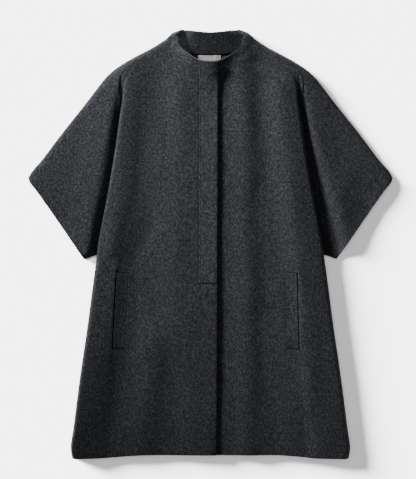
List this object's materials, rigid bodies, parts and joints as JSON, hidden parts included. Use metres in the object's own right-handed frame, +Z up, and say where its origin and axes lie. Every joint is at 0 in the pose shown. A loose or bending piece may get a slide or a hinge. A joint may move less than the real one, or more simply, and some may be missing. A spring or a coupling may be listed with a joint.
{
  "type": "cape",
  "caption": "Wide felted-wool cape coat laid flat, with cut-in-one short sleeves, a stand collar, a covered front placket and welt pockets.",
  "frame": {"origin": "on the surface that the cape lies on, below the middle of its bounding box", "axes": "+X to the right of someone looking down at the front, +Y from hem to neck, +Z up from the surface"},
  "size_m": [0.824, 0.9661, 0.0386],
  "materials": {
    "felted_wool": "charcoal melange felted wool, matt and softly napped",
    "label_cloth": "off-white woven satin, plain"
  },
  "bodies": {
    "root": {"back": "felted_wool", "front_right": "felted_wool", "front_left": "felted_wool", "collar_back": "felted_wool", "placket": "felted_wool", "pocket_welt_right": "felted_wool", "pocket_welt_left": "felted_wool", "label": "label_cloth"}
  },
  "joints": []
}
